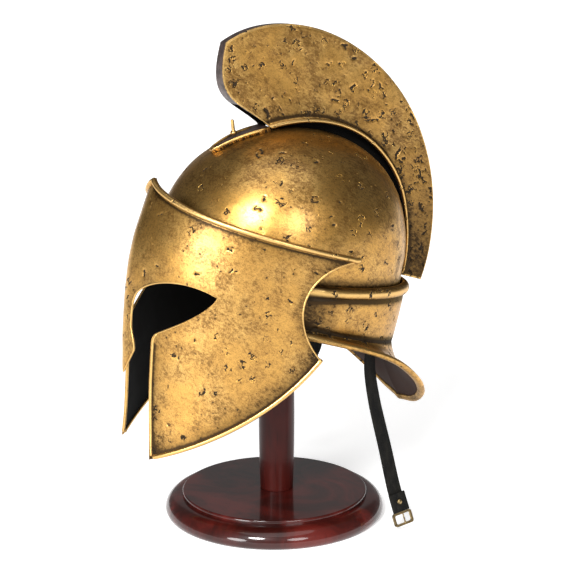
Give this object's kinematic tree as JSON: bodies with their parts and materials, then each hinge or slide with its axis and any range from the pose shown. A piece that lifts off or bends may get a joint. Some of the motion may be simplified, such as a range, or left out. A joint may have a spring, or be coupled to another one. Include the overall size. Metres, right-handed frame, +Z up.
{
  "type": "greek bronze helmet on a stand",
  "caption": "Crested bronze helmet with face plate, cheek guards, flared nape guard and leather chin strap, held on a turned wooden stand.",
  "frame": {"origin": "centre of the underside of the stand's base", "axes": "+Z up, -Y the way the helmet faces, +X the wearer's left"},
  "size_m": [0.2288, 0.3296, 0.4765],
  "materials": {
    "bronze": "antique gold bronze, pitted and brushed, dark patina in the hollows, inside painted black",
    "strap_leather": "black grained leather",
    "buckle_metal": "darkened brass",
    "lacquered_wood": "dark red mahogany under gloss lacquer"
  },
  "bodies": {
    "root": {"skull": "bronze", "nape_guard": "bronze", "face_plate": "bronze", "crest": "bronze", "crest_saddle": "bronze", "crest_peg": "bronze", "crest_rib": "bronze", "chin_strap_left": "strap_leather", "chin_strap_right": "strap_leather", "buckle_frame": "buckle_metal", "buckle_prong": "buckle_metal", "strap_fold_rivet": "buckle_metal", "strap_rivet_left": "buckle_metal", "strap_rivet_right": "buckle_metal", "stand_base": "lacquered_wood", "stand_post": "lacquered_wood", "stand_head": "lacquered_wood"}
  },
  "joints": []
}
